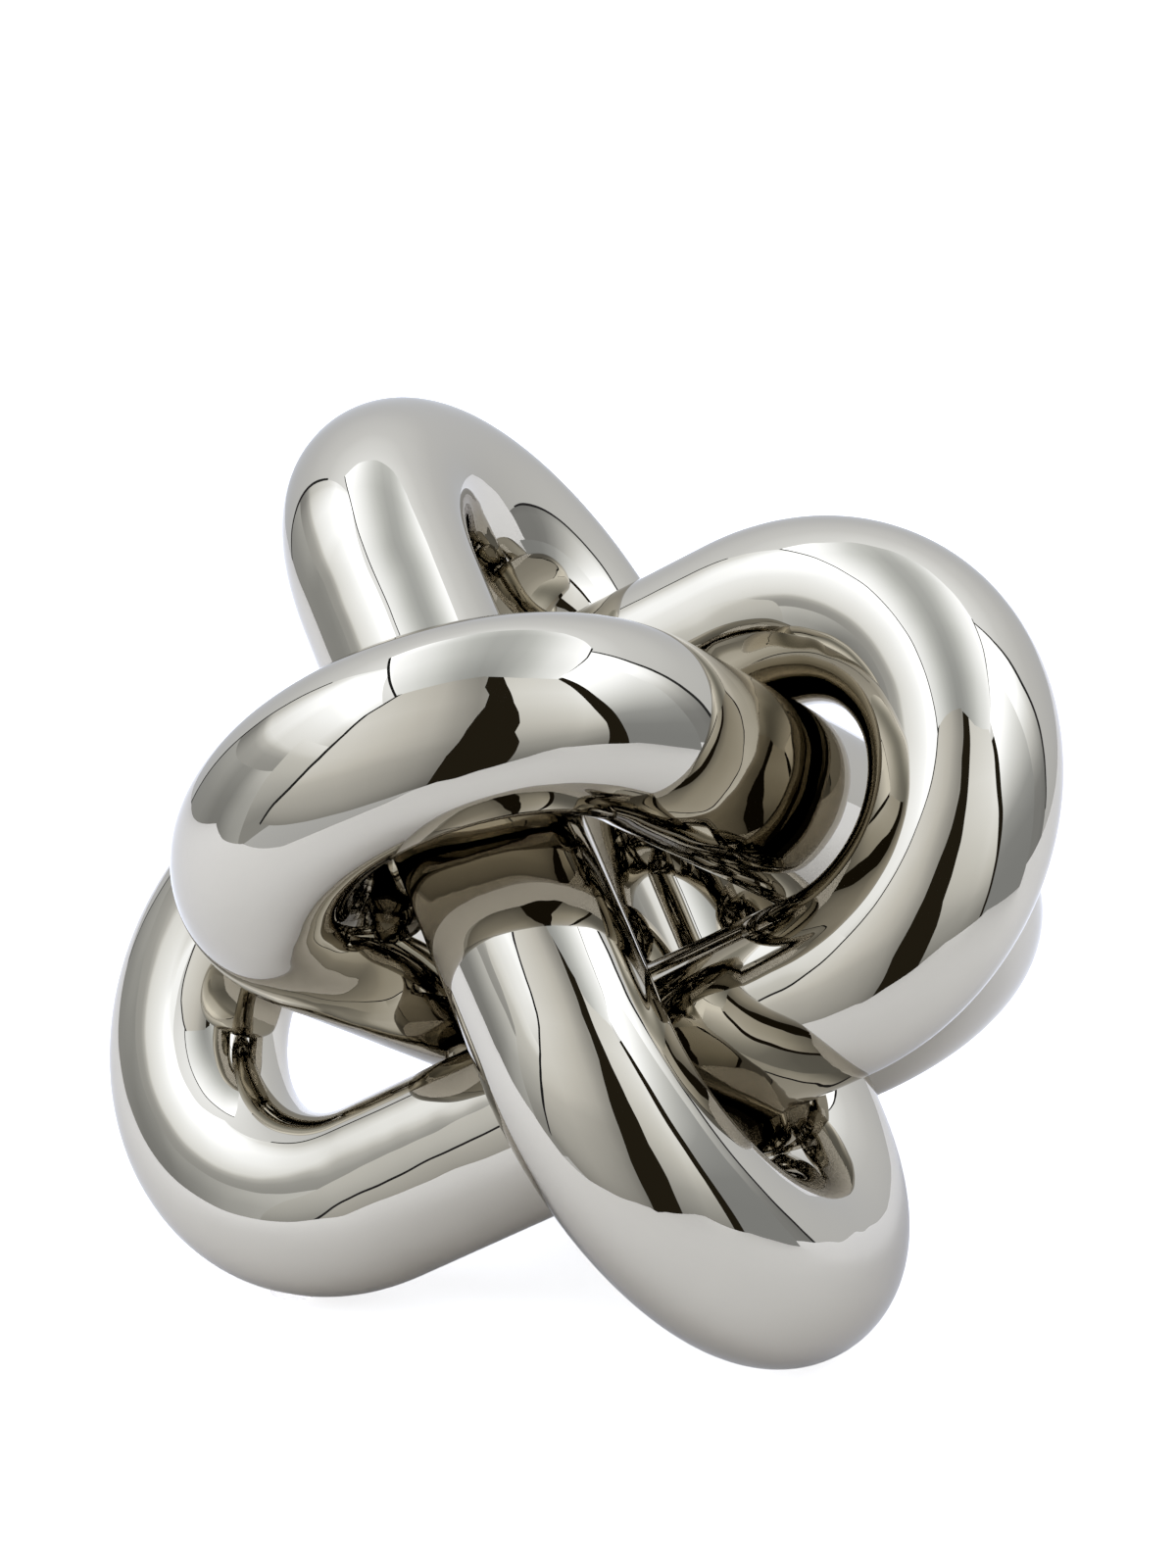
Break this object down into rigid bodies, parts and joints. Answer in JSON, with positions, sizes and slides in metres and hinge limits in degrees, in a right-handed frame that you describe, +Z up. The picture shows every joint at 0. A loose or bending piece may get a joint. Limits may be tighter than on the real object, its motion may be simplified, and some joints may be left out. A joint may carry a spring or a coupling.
{
  "type": "knot sculpture",
  "caption": "Free-standing table sculpture: equal stadium-shaped links of thick round bar threaded through one another into a rigid knot, mirror-polished, standing on the lower bends",
  "frame": {"origin": "on the floor, under the middle of the bounding box", "axes": "+Z up, square to the plane of the foot pads; +Y points away from a viewer at the front, so the left link's crown leans to the front left, the right link's crown to the right and the back link's crown to the back; +X points to that viewer's right"},
  "size_m": [0.2004, 0.1984, 0.1743],
  "materials": {
    "nickel_mirror": "nickel-plated casting, hand-polished to a mirror with faint waviness and hairline scratches",
    "pin_steel": "plain ground steel, hidden inside the legs",
    "pad_rubber": "soft milky silicone"
  },
  "bodies": {
    "root": {"back_link_crown": "nickel_mirror", "back_link_foot": "nickel_mirror", "back_foot_pad": "pad_rubber", "left_link_crown": "nickel_mirror", "left_link_foot": "nickel_mirror", "left_foot_pad": "pad_rubber", "right_link_crown": "nickel_mirror", "right_link_foot": "nickel_mirror", "right_foot_pad": "pad_rubber", "seam_pins": "pin_steel", "weld_nuggets": "nickel_mirror"}
  },
  "joints": []
}
